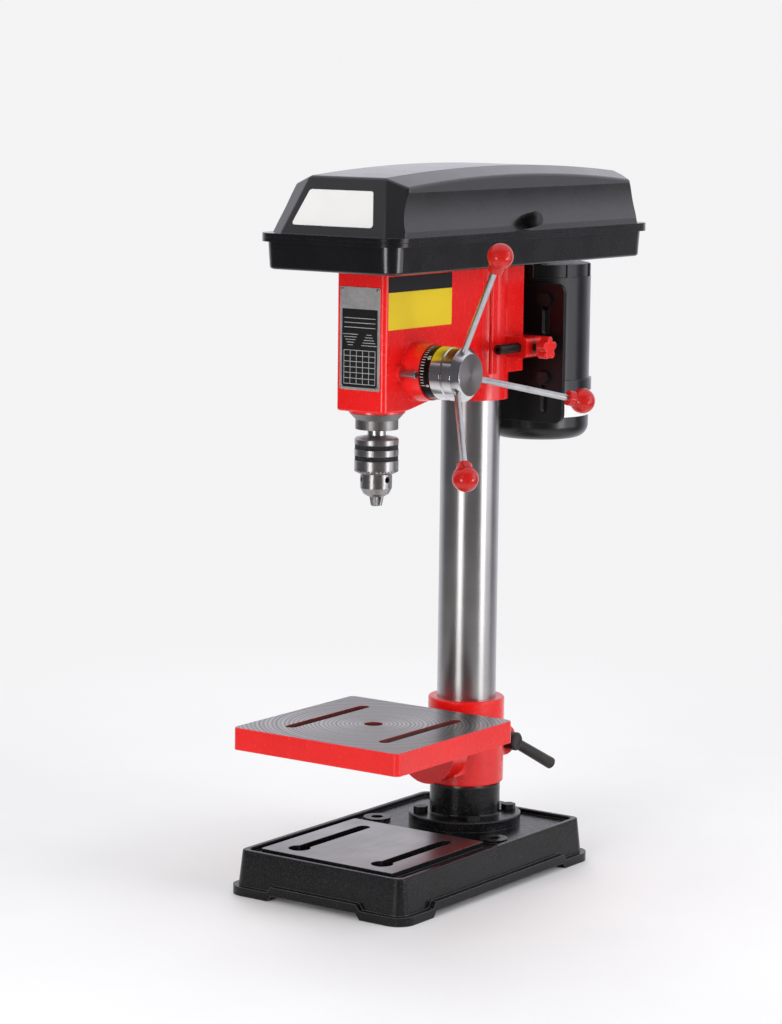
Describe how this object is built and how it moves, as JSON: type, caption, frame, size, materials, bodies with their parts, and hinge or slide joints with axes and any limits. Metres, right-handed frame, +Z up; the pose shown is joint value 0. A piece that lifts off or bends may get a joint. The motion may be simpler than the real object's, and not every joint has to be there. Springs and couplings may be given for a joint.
{
  "type": "bench drill",
  "caption": "Bench drill press: cast base, round column, tilting slotted table, belt-driven head with feed handles, key chuck, hinged belt cover and rear motor.",
  "frame": {"origin": "on the bench, midway between the two bench bolt holes", "axes": "+X to the operator's right, -Y to the front, +Z up along the column"},
  "size_m": [0.2633, 0.4733, 0.7128],
  "materials": {
    "red_paint": "gloss enamel over casting texture",
    "table_paint": "gloss enamel sides, machined top",
    "black_paint": "black enamel over casting texture",
    "black_sheet": "satin black paint on pressed steel",
    "black_cover": "moulded black plastic, satin gloss",
    "black_plastic": "moulded black plastic",
    "red_plastic": "glossy moulded plastic",
    "green_plastic": "glossy moulded plastic",
    "column_steel": "ground tube",
    "turned_steel": "turned and ground",
    "chuck_steel": "ground and polished",
    "chrome": "bright plating",
    "scale_black": "black band with pale graduations",
    "black_steel": "black oxide",
    "zinc_steel": "zinc plated",
    "bearing_steel": "ground rings",
    "motor_core": "stacked laminations and windings",
    "pulley_alloy": "die cast",
    "belt_rubber": "rubber"
  },
  "bodies": {
    "frame": {"base": "black_paint", "column_flange": "black_paint", "flange_bolts": "black_steel", "column": "column_steel", "head_casting": "red_paint", "head_set_screws": "black_steel", "depth_pointer": "turned_steel", "belt_tray": "black_cover", "tray_screws": "zinc_steel", "lid_hinge_pins": "zinc_steel", "insert_bearings": "bearing_steel", "v_belt": "belt_rubber", "return_spring": "zinc_steel", "spring_cap": "black_sheet", "switch_box": "black_plastic", "cable_gland": "black_plastic"},
    "lid": {"lid": "black_cover", "lid_knob": "black_plastic"},
    "table_bracket": {"table_bracket": "red_paint", "table_tilt_bolt": "black_steel"},
    "table": {"table": "table_paint"},
    "table_clamp": {"table_clamp_screw": "black_steel", "table_clamp_lever": "black_steel"},
    "feed": {"feed_shaft": "turned_steel", "feed_hub": "chrome", "feed_handles": "chrome", "handle_knobs": "red_plastic", "spring_cap_nuts": "zinc_steel"},
    "depth_dial": {"depth_collar": "chrome", "depth_scale": "scale_black"},
    "quill": {"quill": "turned_steel", "quill_bearings": "bearing_steel"},
    "spindle": {"spindle": "turned_steel", "chuck_body": "chuck_steel"},
    "chuck_sleeve": {"chuck_sleeve": "chuck_steel", "chuck_nut": "chuck_steel"},
    "jaw_1": {"chuck_jaw_1": "chuck_steel"},
    "jaw_2": {"chuck_jaw_2": "chuck_steel"},
    "jaw_3": {"chuck_jaw_3": "chuck_steel"},
    "pulley": {"pulley_insert": "turned_steel", "spindle_pulley": "pulley_alloy", "pulley_nut": "zinc_steel"},
    "motor": {"motor_plate": "black_sheet", "motor_bolts": "black_steel", "slide_rods": "black_steel", "rod_nuts": "black_steel", "motor_shell": "black_sheet", "motor_top_bell": "black_sheet", "motor_bottom_bell": "black_sheet", "motor_stator": "motor_core", "motor_bearings": "bearing_steel"},
    "rotor": {"motor_rotor": "turned_steel", "motor_pulley": "pulley_alloy"},
    "motor_lock": {"motor_lock_screw": "black_steel", "motor_lock_knob": "red_plastic"},
    "start_button": {"start_button": "green_plastic"},
    "stop_button": {"stop_button": "red_plastic"}
  },
  "joints": [
    {"name": "lid_hinge", "type": "hinge", "parent": "frame", "child": "lid", "pos_m": [-0.0885, 0, 0.64615], "axis": [0, -1, 0], "range_deg": [0, 100]},
    {"name": "table_lift", "type": "slide", "parent": "frame", "child": "table_bracket", "axis": [0, 0, 1], "range_m": [0, 0.13]},
    {"name": "table_tilt", "type": "hinge", "parent": "table_bracket", "child": "table", "pos_m": [0, -0.004, 0.125], "axis": [0, 1, 0], "range_deg": [-45, 45]},
    {"name": "table_clamp_turn", "type": "hinge", "parent": "table_bracket", "child": "table_clamp", "pos_m": [0, 0.111, 0.116], "axis": [1, 0, 0], "range_deg": [-45, 45]},
    {"name": "feed_turn", "type": "hinge", "parent": "frame", "child": "feed", "pos_m": [0, -0.082, 0.5165], "axis": [1, 0, 0], "range_deg": [0, 381.97], "stiffness_Nm_per_rad": 0.3, "springref_deg": -171.89},
    {"name": "depth_dial_turn", "type": "hinge", "parent": "feed", "child": "depth_dial", "pos_m": [0.06, -0.082, 0.5165], "axis": [1, 0, 0], "range_deg": [0, 300]},
    {"name": "quill_feed", "type": "slide", "parent": "frame", "child": "quill", "axis": [0, 0, -1], "range_m": [0, 0.0601]},
    {"name": "spindle_spin", "type": "hinge", "parent": "quill", "child": "spindle", "pos_m": [0, -0.109, 0.5], "axis": [0, 0, 1], "continuous": true},
    {"name": "chuck_turn", "type": "hinge", "parent": "spindle", "child": "chuck_sleeve", "pos_m": [0, -0.109, 0.43], "axis": [0, 0, 1], "range_deg": [0, 3756.5]},
    {"name": "pulley_spin", "type": "hinge", "parent": "frame", "child": "pulley", "pos_m": [0, -0.109, 0.65], "axis": [0, 0, 1], "continuous": true},
    {"name": "motor_slide", "type": "slide", "parent": "frame", "child": "motor", "axis": [0, -1, 0], "range_m": [0, 0.014]},
    {"name": "motor_spin", "type": "hinge", "parent": "motor", "child": "rotor", "pos_m": [0, 0.179, 0.6], "axis": [0, 0, 1], "continuous": true},
    {"name": "motor_lock_turn", "type": "hinge", "parent": "frame", "child": "motor_lock", "pos_m": [0.07, 0.075, 0.531], "axis": [1, 0, 0], "range_deg": [0, 270]},
    {"name": "start_press", "type": "slide", "parent": "frame", "child": "start_button", "axis": [1, 0, 0], "range_m": [0, 0.003], "stiffness_N_per_m": 300, "springref_m": -0.002},
    {"name": "stop_press", "type": "slide", "parent": "frame", "child": "stop_button", "axis": [1, 0, 0], "range_m": [0, 0.003], "stiffness_N_per_m": 300, "springref_m": -0.002},
    {"name": "jaw_1_slide", "type": "slide", "parent": "spindle", "child": "jaw_1", "axis": [0.1362, 0.1682, 0.9763], "range_m": [0, 0.0241]},
    {"name": "jaw_2_slide", "type": "slide", "parent": "spindle", "child": "jaw_2", "axis": [-0.2138, 0.0339, 0.9763], "range_m": [0, 0.0241]},
    {"name": "jaw_3_slide", "type": "slide", "parent": "spindle", "child": "jaw_3", "axis": [0.0776, -0.2021, 0.9763], "range_m": [0, 0.0241]}
  ],
  "couplings": [
    {"joint": "quill_feed", "follows": "feed_turn", "m_per_rad": 0.009},
    {"joint": "pulley_spin", "follows": "motor_spin", "ratio": 1},
    {"joint": "spindle_spin", "follows": "motor_spin", "ratio": 1},
    {"joint": "jaw_1_slide", "follows": "chuck_turn", "m_per_rad": 0.00036606},
    {"joint": "jaw_2_slide", "follows": "chuck_turn", "m_per_rad": 0.00036606},
    {"joint": "jaw_3_slide", "follows": "chuck_turn", "m_per_rad": 0.00036606}
  ]
}
